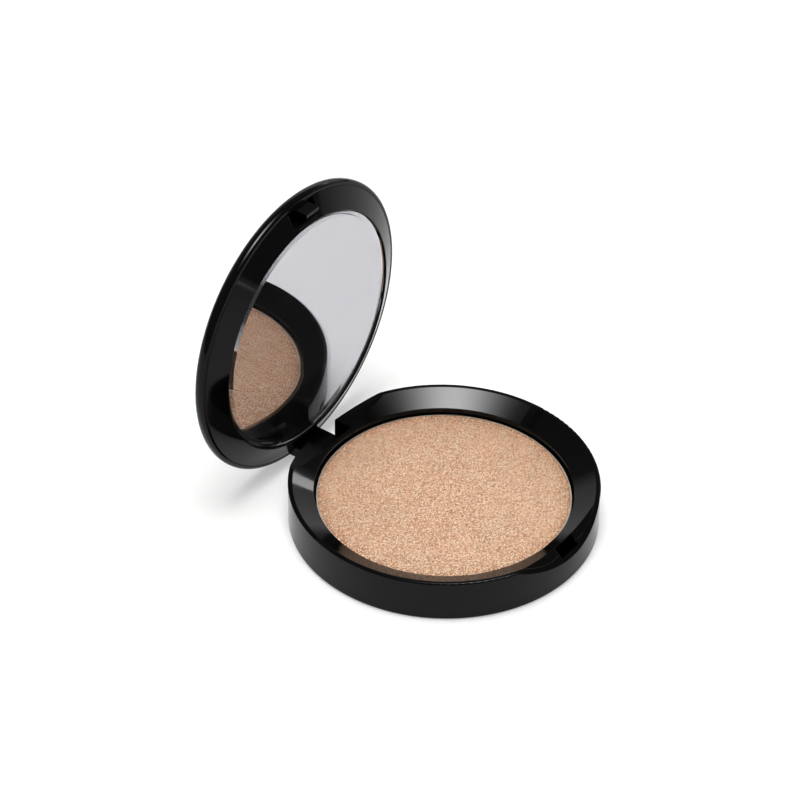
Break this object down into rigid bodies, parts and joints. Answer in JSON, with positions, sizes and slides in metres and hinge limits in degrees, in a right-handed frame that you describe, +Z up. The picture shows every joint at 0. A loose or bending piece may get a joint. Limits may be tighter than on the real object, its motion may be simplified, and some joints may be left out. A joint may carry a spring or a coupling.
{
  "type": "powder compact",
  "caption": "Round hinged compact for pressed powder: glossy two-part base with a sunken pan, and a domed lid that holds a bevelled mirror and a latch hook.",
  "frame": {"origin": "centre of the base's underside, on the surface it stands on", "axes": "+Z up, +Y towards the hinge, -Y towards the latch, +X to the right seen from the latch side; the lid stands open at 90 degrees"},
  "size_m": [0.072, 0.0814, 0.0721],
  "materials": {
    "black_plastic": "polished injection-moulded ABS, black",
    "pin_steel": "drawn wire, cut to length",
    "pan_aluminium": "drawn cup, bright",
    "pressed_powder": "pressed shimmering powder, champagne",
    "adhesive": "double-sided acrylic film",
    "label_paper": "coated paper, blank",
    "clear_glass": "clear float glass with a ground bevel",
    "silvering": "silver with a painted back",
    "foam_tape": "closed-cell foam tape"
  },
  "bodies": {
    "base": {"base_shell": "black_plastic", "tray_frame": "black_plastic", "hinge_pin": "pin_steel", "pan": "pan_aluminium", "powder_cake": "pressed_powder", "pan_adhesive": "adhesive", "underside_label": "label_paper"},
    "lid": {"lid_shell": "black_plastic", "mirror_frame": "black_plastic", "mirror_glass": "clear_glass", "mirror_silvering": "silvering", "mirror_tape": "foam_tape"}
  },
  "joints": [
    {"name": "lid_hinge", "type": "hinge", "parent": "base", "child": "lid", "pos_m": [0, 0.0334, 0.0027], "axis": [1, 0, 0], "range_deg": [0, 90]}
  ]
}
